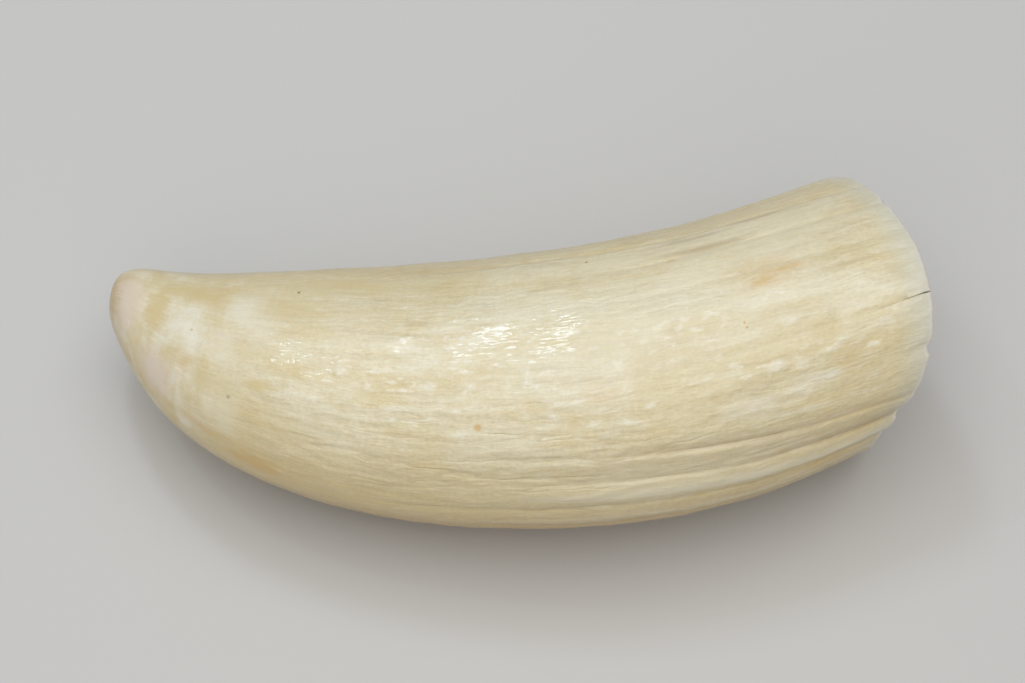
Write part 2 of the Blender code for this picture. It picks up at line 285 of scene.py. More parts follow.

# Stains, pale places and bands of painted shade: share of the length, angle, size along and across, colour,
# strength, softness
STAINS_AND_SHADE = [
    (0.06, 100, 9, 26, "pink", 0.85, 0.8),
    (0.14, 142, 8, 12, "pink", 0.75, 0.8),
    (0.022, 100, 7, 60, "amber", 1.0, 0.8),
    (0.05, 62, 7, 5, "amber", 0.45, 0.9),
    (0.085, 165, 16, 6, "amber", 0.5, 0.9),
    (0.12, 92, 3.6, 12, "amber", 0.35, 0.9),
    (0.12, 92, 4.2, 14, "yellow", 0.8, 0.9),
    (0.168, 66, 13, 8, "yellow", 0.8, 0.9),
    (0.2, 66, 2, 7, "amber", 0.25, 0.9),
    (0.245, 78, 5, 8, "white", 0.45, 0.9),
    (0.19, 48, 9, 4, "yellow", 0.55, 0.9),
    (0.33, 57, 24, 5.5, "yellow", 0.55, 0.9),
    (0.3, 74, 13, 8, "yellow", 0.6, 0.9),
    (0.3, 34, 58, 10, "yellow", 0.75, 0.9),
    (0.14, 32, 24, 8, "tan", 0.3, 0.9),
    (0.3, 174, 52, 9, "yellow", 0.6, 0.9),
    # Painted shade: a long tan band under the bulging edge
    (0.48, 192, 95, 8, "tan", 0.28, 0.9),
    # Painted shade along the hollow-side edge, over its yellow tint, in this yellow band and the tan one after it
    (0.6, 31, 90, 11, "yellow", 0.65, 0.9),
    (0.5, 28, 100, 9, "tan", 0.22, 0.9),
    (0.172, 98, 5.5, 8, "white", 0.48, 0.9),
    (0.225, 104, 5, 8.5, "white", 0.35, 0.9),
    (0.27, 92, 5, 7.5, "white", 0.3, 0.9),
    (0.215, 128, 7, 4, "yellow", 0.3, 0.95),
    (0.183, 121, 2.4, 4.2, "orange", 0.42, 0.95),
    (0.18, 98, 0.45, 0.6, "orange", 0.7, 0.8),
    (0.25, 140, 4, 10, "pale", 0.6, 0.9),
    (0.196, 163, 2.6, 4, "white", 0.45, 0.8),
    (0.283, 119, 5, 2.2, "yellow", 0.85, 0.9),
    # Painted shade: a long orange band under the bulging edge, over a real orange tint there
    (0.54, 200, 88, 13, "orange", 0.34, 0.95),
    (0.295, 168, 9, 5, "orange", 0.6, 0.9),
    (0.22, 158, 12, 2.5, "orange", 0.35, 0.9),
    (0.251, 130, 0.5, 0.7, "brown", 0.45, 0.8),
    (0.301, 62, 0.45, 0.5, "brown", 0.85, 0.7),
    (0.542, 127, 1, 1, "orange", 0.8, 0.8),
    (0.68, 57, 17, 5, "pale", 0.7, 0.9),
    (0.7, 88, 42, 20, "pale", 0.45, 0.95),
    (0.86, 60, 24, 11, "pale", 0.75, 0.95),
    (0.77, 76, 12, 8, "pale", 0.6, 0.95),
    (0.74, 156, 50, 11, "pale", 0.5, 0.95),
    (0.86, 82, 9, 5, "orange", 0.32, 0.95),
    (0.85, 84, 3.6, 1.4, "orange", 0.45, 0.95),
    (0.872, 81, 4.4, 1, "orange", 0.45, 0.95),
    (0.8, 60, 14, 1.3, "tan", 0.6, 0.9),
    (0.78, 51, 12, 1, "brown", 0.3, 0.9),
    (0.865, 48, 9, 1.2, "tan", 0.6, 0.9),
    (0.928, 123, 4.5, 3.5, "orange", 0.2, 0.95),
    (0.908, 127, 3.2, 1.6, "white", 0.45, 0.95),
    (0.886, 128, 3, 3, "white", 0.35, 0.95),
    (0.948, 120, 1.4, 0.5, "white", 0.6, 0.8),
    (0.84, 132, 9, 2.2, "white", 0.35, 0.95),
    (0.676, 117, 5, 2.6, "orange", 0.25, 0.9),
    (0.652, 54, 0.35, 0.35, "brown", 0.85, 0.6),
    (0.828, 99, 0.3, 0.35, "orange", 0.95, 0.6),
    (0.83, 101, 0.35, 0.35, "orange", 0.95, 0.6),
    (0.93, 176, 7, 3, "orange", 0.3, 0.9),
    (0.48, 45, 26, 3.5, "tan", 0.25, 0.95),
    (0.8, 42, 24, 3, "tan", 0.25, 0.95),
]

# The stage: places are given from the tooth's middle, in metres. A glint light has its place, width, depth and
# share of the power.
KEY_PLACE, KEY_SIZE, KEY_COLOUR = (0.01, 0.06, 0.62), (0.80, 0.65), (1.0, 0.99, 0.965)
FILL_PLACE, FILL_SIZE, FILL_COLOUR = (-0.04, -0.50, 0.50), (0.7, 0.7), (1.0, 0.98, 0.96)
GLINTS = [(-0.118, 0.290, 0.545, 0.066, 0.125, 1.0), (-0.298, 0.165, 0.548, 0.045, 0.060, 0.30)]
GLINT_COLOUR = (0.62, 0.80, 1.0)
ROOM_COLOUR = (1.0, 0.99, 0.97)
FLOOR_ROUGHNESS = 0.7
CAMERA_TARGET = (0.00040, 0.00386, 0.018)


def smooth_step(value, start, end):
    """Rises from 0 at start to 1 at end, level at both. Works on a number or an array."""
    x = np.clip((value - start) / (end - start), 0.0, 1.0)
    return x * x * (3.0 - 2.0 * x)


class SmoothCurve:
    """A natural cubic curve through points that stand at given places along it."""

    def __init__(self, places, points):
        self.places = np.asarray(places, float)
        self.points = np.asarray(points, float)
        gaps = np.diff(self.places)
        count = len(self.places)
        system = np.eye(count)
        turns = np.zeros_like(self.points)
        for i in range(1, count - 1):
            system[i, i - 1:i + 2] = gaps[i - 1], 2.0 * (gaps[i - 1] + gaps[i]), gaps[i]
            ahead = (self.points[i + 1] - self.points[i]) / gaps[i]
            behind = (self.points[i] - self.points[i - 1]) / gaps[i - 1]
            turns[i] = 6.0 * (ahead - behind)
        self.bends = np.linalg.solve(system, turns)

    def at(self, place):
        i = int(np.clip(np.searchsorted(self.places, place) - 1, 0, len(self.places) - 2))
        gap = self.places[i + 1] - self.places[i]
        after, before = place - self.places[i], self.places[i + 1] - place
        bend = (self.bends[i] * before ** 3 + self.bends[i + 1] * after ** 3) / (6.0 * gap)
        start = (self.points[i] / gap - self.bends[i] * gap / 6.0) * before
        end = (self.points[i + 1] / gap - self.bends[i + 1] * gap / 6.0) * after
        return bend + start + end


def outline():
    """The curve from the root along the hollow edge to the tip and back along the bulging edge, with the
    places of the tip and of its end."""
    points = np.array(HOLLOW_EDGE + [TIP] + BULGING_EDGE[::-1])
    steps = np.linalg.norm(np.diff(points, axis=0), axis=1)
    places = np.concatenate(([0.0], np.cumsum(steps)))
    return SmoothCurve(places, points), places[len(HOLLOW_EDGE)], places[-1]


def rim_curve():
    """The reach of the root's edge by angle, over three turns, so that the middle one closes smoothly."""
    turns = [(angle + turn, reach) for turn in (-360, 0, 360) for angle, reach in RIM_REACH]
    return SmoothCurve([angle for angle, _ in turns], [[reach] for _, reach in turns])


OUTLINE, TIP_PLACE, OUTLINE_END = outline()
RIM_CURVE = rim_curve()


class Ring:
    """An ellipse of points that stands across the tooth at a share of its length."""

    def __init__(self, share, place=None):
        hollow = OUTLINE.at(TIP_PLACE * (1.0 - share))
        bulging = OUTLINE.at(TIP_PLACE + share * (OUTLINE_END - TIP_PLACE))
        width = np.linalg.norm(hollow - bulging)
        across = (hollow - bulging) / width
        roundness = TIP_ROUNDNESS + (ROOT_ROUNDNESS - TIP_ROUNDNESS) * smooth_step(share, 0.0, ROUND_UNTIL)
        lift = TIP_LIFT * max(0.0, 1.0 - share / LIFTED_UNTIL) ** 2
        self.place = share if place is None else place
        self.half_width = width / 2.0
        self.half_thickness = roundness * width / 2.0
        self.centre = Vector((*(hollow + bulging) / 2.0, self.half_thickness + lift))
        self.across = Vector((*across, 0.0))
        self.turn = math.atan2(across[1], across[0])
        self.reach_share = max(0.0, (share - REACH_FROM) / (1.0 - REACH_FROM)) ** 2
        self.past = 0.0

    def outward(self, angle):
        """The direction out of the skin at an angle, square to the ring."""
        sideways = math.cos(math.radians(angle)) / self.half_width
        upwards = math.sin(math.radians(angle)) / self.half_thickness
        return (self.across * sideways + Vector((0.0, 0.0, upwards))).normalized()

    def point(self, angle):
        """The point at an angle, pulled out along the root to its wavy end."""
        sideways = self.half_width * math.cos(math.radians(angle))
        upwards = self.half_thickness * math.sin(math.radians(angle))
        reach = self.reach_share * (RIM_CURVE.at(angle % 360.0)[0] + self.past)
        return self.centre + self.across * sideways + Vector((0.0, 0.0, upwards)) + ROOT_AXIS * reach


ROOT = Ring(1.0)
ROOT_AXIS = Vector((ROOT.across.y, -ROOT.across.x, 0.0))


def rim_rings():
    """The rings over the root's thin edge, from outside to inside."""
    rings = []
    for place, inwards, past in RIM_STEPS:
        ring = Ring(1.0, place)
        ring.half_width -= inwards
        ring.half_thickness -= inwards
        ring.past = past
        rings.append(ring)
    return rings


def hollow_rings(wall):
    """The rings of the pulp hollow, from its mouth inwards."""
    rings = []
    for place in HOLLOW_PLACES:
        depth = (place - MOUTH) / (HOLLOW_END - MOUTH)
        ring = Ring(1.0 + (HOLLOW_APEX - 1.0) * depth, place)
        size = (1.0 - depth) ** HOLLOW_FLARE
        ring.half_width = (ROOT.half_width - wall) * size
        ring.half_thickness = (ROOT.half_thickness - wall) * size
        ring.reach_share = (1.0 - depth) ** 2
        ring.past = MOUTH_DEPTH
        rings.append(ring)
    return rings


def deselect_all():
    bpy.ops.object.select_all(action="DESELECT")


def start_ring(ring):
    """A circle that stands across the tooth, squashed to the first ring, with a number for each column."""
    deselect_all()
    bpy.ops.mesh.primitive_circle_add(vertices=COLUMNS, radius=ring.half_width * MILLIMETRE, fill_type="NOTHING",
                                      location=ring.centre * MILLIMETRE, rotation=(math.pi / 2.0, 0.0, ring.turn))
    tooth = bpy.context.object
    tooth.name = tooth.data.name = "ivory_tooth"
    bpy.ops.object.transform_apply(location=True, rotation=True, scale=True)
    column = tooth.data.attributes.new("column", "FLOAT_VECTOR", "POINT")
    centre = ring.centre * MILLIMETRE
    for vertex in tooth.data.vertices:
        arm = (vertex.co - centre).normalized()
        column.data[vertex.index].vector = (arm.dot(ring.across), arm.z, 0.0)
    tooth.data.attributes.active = tooth.data.attributes.new("place", "FLOAT", "POINT")
    bpy.ops.object.mode_set(mode="EDIT")
    bpy.ops.mesh.select_all(action="SELECT")
    bpy.ops.transform.resize(value=(1.0, 1.0, ring.half_thickness / ring.half_width), center_override=centre)
    bpy.ops.mesh.attribute_set(value_float=ring.place)
    return tooth


def turn_ring(angle, centre):
    """Turns what is selected about an upright axis."""
    bpy.ops.transform.rotate(value=-angle, orient_axis="Z", center_override=centre)


def next_ring(old, new):
    """Extrudes the selected ring to the next one, and gives it that one's size, turn and place."""
    centre = new.centre * MILLIMETRE
    bpy.ops.mesh.extrude_region_move(TRANSFORM_OT_translate={"value": centre - old.centre * MILLIMETRE})
    turn_ring(-old.turn, centre)
    bpy.ops.transform.resize(value=(new.half_width / old.half_width, 1.0, new.half_thickness / old.half_thickness),
                             center_override=centre)
    turn_ring(new.turn, centre)
    bpy.ops.mesh.attribute_set(value_float=new.place)


def select_ring(tooth, place):
    """Selects the ring of points at a place, and nothing else."""
    sheet = bmesh.from_edit_mesh(tooth.data)
    places = sheet.verts.layers.float["place"]
    bpy.ops.mesh.select_all(action="DESELECT")
    for vertex in sheet.verts:
        vertex.select = abs(vertex[places] - place) < PLACE_TOLERANCE
    sheet.select_flush(True)
    bmesh.update_edit_mesh(tooth.data)


def close_end(old, point, place):
    """Extrudes the selected ring once more and draws it together to a point."""
    shift = point * MILLIMETRE - old.centre * MILLIMETRE
    bpy.ops.mesh.extrude_region_move(TRANSFORM_OT_translate={"value": shift})
    bpy.ops.mesh.merge(type="CENTER")
    bpy.ops.mesh.attribute_set(value_float=place)


def rough_out(wall):
    """The smooth form, from the tip along the skin, over the root's edge and down the pulp hollow."""
    rings = [Ring(place) for place in SKIN_PLACES] + rim_rings() + hollow_rings(wall)
    tooth = start_ring(rings[0])
    for old, new in zip(rings, rings[1:]):
        next_ring(old, new)
    close_end(rings[-1], Ring(HOLLOW_APEX).centre, HOLLOW_END)
    select_ring(tooth, rings[0].place)
    close_end(rings[0], Vector((*TIP, TIP_LIFT)), 0.0)
    bpy.ops.mesh.select_all(action="SELECT")
    bpy.ops.mesh.normals_make_consistent(inside=False)
    bpy.ops.object.mode_set(mode="OBJECT")
    return tooth, rings


class Groove:
    """One of the grooves: where it runs, how deep it is and how high the ridge after it."""

    def __init__(self, number):
        *angles, self.depth, self.before, self.after, self.start, self.full, self.ridge = GROOVES[number]
        self.steps = np.linspace(0.0, 1.0, int(LENGTH) + 1)
        walk = [Vector((step * LENGTH / WANDER_LENGTH, number * NOISE_STEP, 0.0)) for step in self.steps]
        wander = np.array([noise.noise(point) for point in walk])
        unevenness = np.array([noise.noise(point + Vector((0.0, 0.0, NOISE_STEP))) for point in walk])
        self.angles = np.interp(self.steps, GROOVE_AT, angles) + GROOVE_WANDER * wander
        self.strength = 1.0 + GROOVE_UNEVENNESS * unevenness

    def angle(self, share):
        return np.interp(share, self.steps, self.angles)

    def sink(self, share):
        return self.depth * smooth_step(share, self.start, self.full) * np.interp(share, self.steps, self.strength)

    def rise(self, share):
        return self.ridge * smooth_step(share, self.start, self.start + RIDGE_RISE)


ALL_GROOVES = [Groove(number) for number in range(len(GROOVES))]


def by_groove(number, share, measure):
    """A measure of the groove with each number at each share, for arrays of both. Numbers go on past a turn."""
    values = np.zeros(len(share))
    for index, groove in enumerate(ALL_GROOVES):
        mine = number % len(ALL_GROOVES) == index
        values[mine] = measure(groove, share[mine])
    return values


def column_angles(column, share):
    """The angle of each point, from its column counted in grooves and its share of the length."""
    number = np.floor(column).astype(int)
    turns = 360.0 * (number // len(ALL_GROOVES)), 360.0 * ((number + 1) // len(ALL_GROOVES))
    here = by_groove(number, share, Groove.angle) + turns[0]
    ahead = by_groove(number + 1, share, Groove.angle) + turns[1]
    return here + (ahead - here) * (column - number)


def read_values(data, name, width):
    """What all items of a mesh's layer hold, as an array with a row for each."""
    values = np.zeros(len(data) * width, np.float32)
    data.foreach_get(name, values)
    return values.reshape(len(data), width).astype(float)


def write_attribute(mesh, name, kind, values):
    layer = mesh.attributes.get(name) or mesh.attributes.new(name, kind, "POINT")
    layer.data.foreach_set("value" if kind == "FLOAT" else "vector", values.astype(np.float32).ravel())


def read_columns(mesh):
    """Each point's column, counted in grooves, and its place."""
    cosine, sine, _ = read_values(mesh.attributes["column"].data, "vector", 3).T
    column = (np.arctan2(sine, cosine) / (2.0 * math.pi) % 1.0) * len(GROOVES)
    return column, read_values(mesh.attributes["place"].data, "value", 1).ravel()


def slide_to_grooves(tooth, rings):
    """Slides the columns of points round their rings until every fourth lies in a groove, and pulls the root's
    end out to its wavy edge. Each point also gets its direction out of the skin."""
    column, place = read_columns(tooth.data)
    column = np.round(column * COLUMNS_PER_GROOVE) / COLUMNS_PER_GROOVE
    angles = column_angles(column, np.minimum(place, 1.0))
    outward = np.zeros((len(place), 3))
    places = np.array([ring.place for ring in rings])
    for vertex, angle in zip(tooth.data.vertices, angles):
        ring = rings[np.abs(places - place[vertex.index]).argmin()]
        if abs(ring.place - place[vertex.index]) < PLACE_TOLERANCE:
            vertex.co = ring.point(angle) * MILLIMETRE
            outward[vertex.index] = ring.outward(angle)
    write_attribute(tooth.data, "outward", "FLOAT_VECTOR", outward)


def halve_faces(tooth):
    """Rounds the form off between its rings and columns."""
    surface = tooth.modifiers.new("rounding", "SUBSURF")
    surface.levels = surface.render_levels = HALVINGS
    bpy.ops.object.modifier_apply(modifier=surface.name)


def noise_at(points, size, seed):
    """Smooth noise of about -1 to 1 at each point, its bumps about as large as size, given along and across."""
    places = points / np.array(size) + seed * NOISE_STEP
    return np.array([noise.noise(place) for place in places.tolist()])


def grain_places(column, place):
    """Where each point lies on the straightened tooth, in millimetres: along it, and round its axis."""
    share = np.minimum(place, 1.0)
    angle = np.radians(column_angles(column, share))
    along = LENGTH * share + HOLLOW_LENGTH * np.maximum(place - 1.0, 0.0)
    return np.stack((along, GRAIN_RADIUS * np.cos(angle), GRAIN_RADIUS * np.sin(angle)), axis=1), np.degrees(angle)


def groove_relief(column, angle, share):
    """Height of the grooves and the ridges between them."""
    number = np.floor(column).astype(int)
    relief = by_groove(number, share, Groove.rise) * np.sin(math.pi * (column - number)) ** 2
    for step, reach in ((0, lambda groove, share: groove.after), (1, lambda groove, share: groove.before)):
        away = np.abs((angle - by_groove(number + step, share, Groove.angle) + 180.0) % 360.0 - 180.0)
        near = 1.0 - np.radians(away) * GRAIN_RADIUS / by_groove(number + step, share, reach)
        relief -= by_groove(number + step, share, Groove.sink) * np.maximum(near, 0.0) ** GROOVE_SHARPNESS
    return relief


def rim_shift(angle):
    """How far the root's edge stands back for its chips and its small raggedness."""
    around = np.radians(angle)
    circle = np.stack((np.cos(around), np.sin(around), np.zeros(len(around))), axis=1)
    shift = sum(height * noise_at(circle, size, seed) for height, size, seed in RIM_RAGGEDNESS)
    for middle, half_width, depth in RIM_CHIPS:
        away = np.abs((angle - middle + 180.0) % 360.0 - 180.0)
        shift -= depth * (1.0 - smooth_step(away, CHIP_FLOOR * half_width, half_width))
    return shift


def open_crack(column, angle, share, depth, width):
    """The crack's part of each point: how far it is pulled back along the root, sunk and moved sideways, how much
    painted shade it gets, and how much its groove makes way for it. The middle column opens to a slit, and its
    neighbours close in as the slit's lips."""
    column_step = 1.0 / (COLUMNS_PER_GROOVE * 2 ** HALVINGS)
    away = np.abs(column - CRACK_GROOVE) / column_step
    middle, lip = away < 0.5, (away > 0.5) & (away < 1.5)
    from_edge = LENGTH * (1.0 - share) + HOLLOW_LENGTH * depth
    near = 1.0 - smooth_step(from_edge, CRACK_FINE, CRACK_SHOWS)
    open_part = 1.0 - smooth_step(from_edge, 0.0, 2.0 * CRACK_THROUGH)
    back = np.where(middle, CRACK_THROUGH * open_part, 0.0)
    sunk = np.where(middle, CRACK_DEPTH * near * (CRACK_NARROW + (1.0 - CRACK_NARROW) * open_part), 0.0)
    groove_angle = by_groove(np.full(len(column), CRACK_GROOVE), share, Groove.angle)
    offset = np.radians(angle - groove_angle) * ROOT.half_width
    half_width = 0.5 * width * (CRACK_NARROW + (1.0 - CRACK_NARROW) * open_part)
    sideways = np.where(lip, (np.sign(offset) * half_width - offset) * near, 0.0)
    dark = np.where(middle, CRACK_LINE_DARK * near + (1.0 - CRACK_LINE_DARK) * open_part, 0.0)
    return back, sunk, sideways, dark, near * (1.0 - smooth_step(away, 0.0, CRACK_CLEARS))


def carve(tooth, sizes):
    """Carves the grooves, lumps, beads, fibres, chips and the crack, and keeps what the ivory's finish needs."""
    mesh = tooth.data
    column, place = read_columns(mesh)
    share = np.minimum(place, 1.0)
    grain, angle = grain_places(column, place)
    points = read_values(mesh.vertices, "co", 3)
    outward = read_values(mesh.attributes["outward"].data, "vector", 3)
    outward /= np.maximum(np.linalg.norm(outward, axis=1, keepdims=True), LEAST_LENGTH)
    inside = smooth_step(place, 1.0, MOUTH)
    depth = np.clip((place - MOUTH) / (HOLLOW_END - MOUTH), 0.0, 1.0)
    back, sunk, sideways, dark, beside = open_crack(column, angle, share, depth, sizes.crack_width / MILLIMETRE)

    worn = smooth_step(share, *FIBRES_FROM)
    grooves = groove_relief(column, angle, share) * (1.0 - beside)
    beads = noise_at(grain, *BEADS) * smooth_step(share, *BEADS_FROM)
    beads *= BEADS_LEAST + noise_at(grain, *BEAD_PATCHES) ** 2
    beads *= 1.0 - BEADS_FADE * smooth_step(grain[:, 1], *BEADS_FADE_OVER)
    fibres = FIBRE_RAISE - np.abs(noise_at(grain, *FIBRES)) + FINE_FIBRE_SHARE * noise_at(grain, *FINE_FIBRES)
    lumps = noise_at(points / MILLIMETRE, *LUMPS)
    dents = noise_at(points / MILLIMETRE, *DENTS)

    height = grooves * sizes.groove_depth + sizes.lump_height / MILLIMETRE * lumps * worn
    height += sizes.bead_height / MILLIMETRE * beads + sizes.fibre_height / MILLIMETRE * fibres * worn
    height += DENT_DEPTH * dents
    height *= 1.0 - (1.0 - HOLLOW_RELIEF) * inside
    height *= (1.0 - depth) ** HOLLOW_FLARE
    height -= sunk * (1.0 - inside)

    edge = smooth_step(share, CHIPS_FROM, 1.0) * (1.0 - smooth_step(depth, 0.0, CHIPS_INTO_HOLLOW))
    along = rim_shift(angle) * edge - back
    axis = np.array(ROOT_AXIS)
    points += MILLIMETRE * outward * height[:, None]
    points += MILLIMETRE * axis * along[:, None]
    points += MILLIMETRE * np.cross(axis, outward) * sideways[:, None]
    mesh.vertices.foreach_set("co", points.astype(np.float32).ravel())

    write_attribute(mesh, "grain", "FLOAT_VECTOR", grain)
    write_attribute(mesh, "relief", "FLOAT", grooves + FIBRES_SHOW * fibres * worn)
    write_attribute(mesh, "beads", "FLOAT", beads)
    # How much painted shade the crack's slit gets
    write_attribute(mesh, "crack", "FLOAT", dark)
    for name in ("column", "place", "outward"):
        mesh.attributes.remove(mesh.attributes[name])
    mesh.update()


def stand_in_place(tooth):
    """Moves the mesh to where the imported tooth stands: the same middle, on the same floor."""
    points = read_values(tooth.data.vertices, "co", 3)
    low, high = Vector(points.min(axis=0)), Vector(points.max(axis=0))
    shift = (CAD_LOW + CAD_HIGH - low - high) / 2.0
    shift.z = CAD_LOW.z - low.z
    bpy.ops.object.mode_set(mode="EDIT")
    bpy.ops.mesh.select_all(action="SELECT")
    bpy.ops.transform.translate(value=shift)
    bpy.ops.object.mode_set(mode="OBJECT")


class Wiring:
    """Adds nodes to a tree and joins them. A value for a socket is a number, a colour or another node's output."""

    def __init__(self, tree):
        self.tree = tree

    def node(self, kind, inputs=None, **settings):
        node = self.tree.nodes.new(kind)
        for name, value in settings.items():
            setattr(node, name, value)
        for name, value in (inputs or {}).items():
            socket = node.inputs[name]
            if isinstance(value, bpy.types.NodeSocket):
                self.tree.links.new(value, socket)
            else:
                socket.default_value = value
        return node

    def maths(self, operation, first, second=0.0, clamp=False):
        return self.node("ShaderNodeMath", {0: first, 1: second}, operation=operation, use_clamp=clamp).outputs[0]

    def chain(self, operation, *values):
        """All the values added up or multiplied, from the first to the last."""
        return functools.reduce(lambda total, value: self.maths(operation, total, value), values)

    def vector(self, operation, *values):
        return self.node("ShaderNodeVectorMath", dict(enumerate(values)), operation=operation).outputs[0]

    def rise(self, value, start, end, low, high):
        inputs = {"Value": value, "From Min": start, "From Max": end, "To Min": low, "To Max": high}
        return self.node("ShaderNodeMapRange", inputs, interpolation_type="SMOOTHSTEP").outputs[0]

    def step(self, value, start, end, low=0.0, high=1.0):
        """Goes smoothly from low to high as the value goes from start to end, which may be below start."""
        if start > end:
            start, end, low, high = end, start, high, low
        return self.rise(value, start, end, low, high)

    def mix(self, factor, first, second, mode="MIX"):
        inputs = {MIX_FACTOR: factor, MIX_FIRST: first, MIX_SECOND: second}
        return self.node("ShaderNodeMix", inputs, data_type="RGBA", blend_type=mode).outputs[MIX_RESULT]

    def noise(self, grain, along, across, detail, shift, roughness=0.5, distortion=0.0):
        """Noise from 0 to 1 with patches of a size along and across the grain, in millimetres."""
        scale = (1.0 / along, 1.0 / across, 1.0 / across)
        place = self.vector("MULTIPLY_ADD", grain, scale, (shift, shift * NOISE_STEP, 0.0))
        inputs = {"Vector": place, "Scale": 1.0, "Detail": detail, "Roughness": roughness,
                  "Distortion": distortion}
        return self.node("ShaderNodeTexNoise", inputs).outputs[0]

    def bump(self, height, distance):
        inputs = {"Strength": 1.0, "Distance": distance, "Height": height}
        return self.node("ShaderNodeBump", inputs).outputs["Normal"]


def grain_point(share, angle):
    """A place on the straightened tooth, in millimetres."""
    around = math.radians(angle)
    return share * LENGTH, GRAIN_RADIUS * math.cos(around), GRAIN_RADIUS * math.sin(around)


def patch_group():
    """A node group for one stain, pale place or band of painted shade: 1 in its middle and 0 outside it, with a
    soft and uneven edge.
    """
    group = bpy.data.node_groups.new("stain", "ShaderNodeTree")
    face = group.interface
    for name, kind in (("Grain", "Vector"), ("Unevenness", "Float"), ("Centre", "Vector"), ("Size", "Vector"),
                       ("Softness", "Float")):
        face.new_socket(name, in_out="INPUT", socket_type="NodeSocket" + kind)
    face.new_socket("Share", in_out="OUTPUT", socket_type="NodeSocketFloat")
    wiring = Wiring(group)
    given = wiring.node("NodeGroupInput").outputs
    away = wiring.vector("DIVIDE", wiring.vector("SUBTRACT", given["Grain"], given["Centre"]), given["Size"])
    distance = wiring.node("ShaderNodeVectorMath", {0: away}, operation="LENGTH").outputs["Value"]
    distance = wiring.maths("ADD", distance, given["Unevenness"])
    start = wiring.maths("SUBTRACT", 1.0, given["Softness"])
    wiring.node("NodeGroupOutput", {"Share": wiring.rise(distance, start, 1.0, 1.0, 0.0)})
    return group


def opaque(colour, factor=1.0):
    return (*(channel * factor for channel in colour), 1.0)


class IvoryFinish(Wiring):
    """The nodes of the ivory. Its measures are the outputs that colour, roughness and bumps follow: what carve()
    wrote on the mesh, places along and round the tooth, noises, and zones where a finish shows."""

    def __init__(self, tree, colours):
        super().__init__(tree)
        self.colours = colours
        self.grain = self.attribute("grain", "Vector")
        along, inward, upward = self.node("ShaderNodeSeparateXYZ", {0: self.grain}).outputs
        self.measures = {"along": along, "inward": inward, "upward": upward}
        for name in ("relief", "beads", "crack"):
            self.measures[name] = self.attribute(name)
        self.add_noises()
        self.add_zones()

    def attribute(self, name, output="Fac"):
        return self.node("ShaderNodeAttribute", attribute_name=name).outputs[output]

    def add_noises(self):
        """The noises, some of them on grain that wanders a little."""
        measures = self.measures
        wobble = self.noise(self.grain, *WOBBLE_NOISE).node.outputs["Color"]
        wobble = self.vector("SUBTRACT", wobble, (0.5, 0.5, 0.5))
        wavy = self.vector("ADD", self.grain, self.vector("MULTIPLY", wobble, (WOBBLE, WOBBLE, WOBBLE)))
        for name, sizes in NOISES.items():
            measures[name] = self.noise(wavy if name in WAVY_NOISES else self.grain, *sizes)
        measures["wrinkle"] = self.maths("ABSOLUTE", self.maths("SUBTRACT", measures["wrinkle"], 0.5))
        wander = self.maths("MULTIPLY", measures["warmth"], EDGE_WANDER)
        measures["ragged_along"] = self.maths("ADD", measures["along"], wander)

    def add_zones(self):
        """The zones, each alone and then where several meet."""
        measures = self.measures
        for name, (measure, *steps) in ZONES.items():
            measures[name] = self.step(measures[measure], *steps)
        for name, parts in MEETING_ZONES.items():
            measures[name] = self.chain("MULTIPLY", *(measures[part] for part in parts))

    def paint(self, name, factor=1.0):
        return opaque(getattr(self.colours, name), factor)

    def lay(self, colour, layers):
        """Lays colours over what is there, one after the other."""
        for name, measure, start, end, strength, *zones in layers:
            share = self.step(self.measures[measure], start, end, 0.0, strength)
            share = self.chain("MULTIPLY", share, *(self.measures[zone] for zone in zones))
            colour = self.mix(share, colour, self.paint(name))
        return colour

    def weighted(self, parts):
        """The sum of some noises, each times its weight."""
        return self.chain("ADD", *(self.maths("MULTIPLY", self.measures[name], weight)
                                   for name, weight in parts.items()))

    def add_stains_and_shade(self, colour):
        """The stains, spots, pale places and bands of painted shade, one over the other."""
        group = patch_group()
        uneven = self.maths("SUBTRACT", self.measures["stain_edge"], 0.5)
        uneven = self.maths("MULTIPLY", uneven, PATCH_UNEVENNESS)
        for share, angle, along, across, name, strength, softness in STAINS_AND_SHADE:
            inputs = {"Grain": self.grain, "Unevenness": uneven, "Centre": grain_point(share, angle),
                      "Size": (along, across, across), "Softness": softness}
            patch = self.node("ShaderNodeGroup", inputs, node_tree=group).outputs["Share"]
            colour = self.mix(self.maths("MULTIPLY", patch, strength), colour, self.paint(name))
        return colour

    def colour(self):
        """The ivory's colour, from its clouds and streaks, with painted shade towards its edges and underneath, to
        the tip, the stains and bands of painted shade, the root's edge, the hollow and the painted shade in the
        crack."""
        measures = self.measures
        colour = self.lay(self.paint("cream"), SKIN_LAYERS)
        colour = self.mix(measures["tip"], colour, self.lay(self.paint("yellow"), TIP_LAYERS))
        shade = self.mix(self.weighted(SHADE_PARTS), SHADE_LOW, SHADE_HIGH)
        colour = self.lay(self.mix(1.0, colour, shade, "MULTIPLY"), RELIEF_LAYERS)
        colour = self.lay(self.add_stains_and_shade(colour), EDGE_LAYERS)
        bands = self.step(measures["rings"], *HOLLOW_BANDS)
        hollow = self.mix(bands, self.paint("hollow"), self.paint("hollow", HOLLOW_SHADE))
        colour = self.mix(measures["outside"], hollow, colour)
        # Painted shade at the bottom of the crack
        crack = self.maths("MULTIPLY", measures["crack"], CRACK_STRENGTH, clamp=True)
        return self.mix(crack, colour, self.paint("crack"))

    def roughness(self):
        return self.chain("ADD", *(self.step(self.measures[name], *steps) for name, *steps in ROUGHNESS_PARTS))

    def bumps(self):
        """Fine bumps, flatter on the worn tip, with the wrinkles sunk into them."""
        bumps = self.maths("MULTIPLY", self.weighted(BUMP_PARTS), self.measures["polished"])
        valley = self.step(self.measures["wrinkle"], *WRINKLE_VALLEY)
        valley = self.maths("MULTIPLY", valley, self.measures["wrinkled"])
        return self.maths("SUBTRACT", bumps, valley)


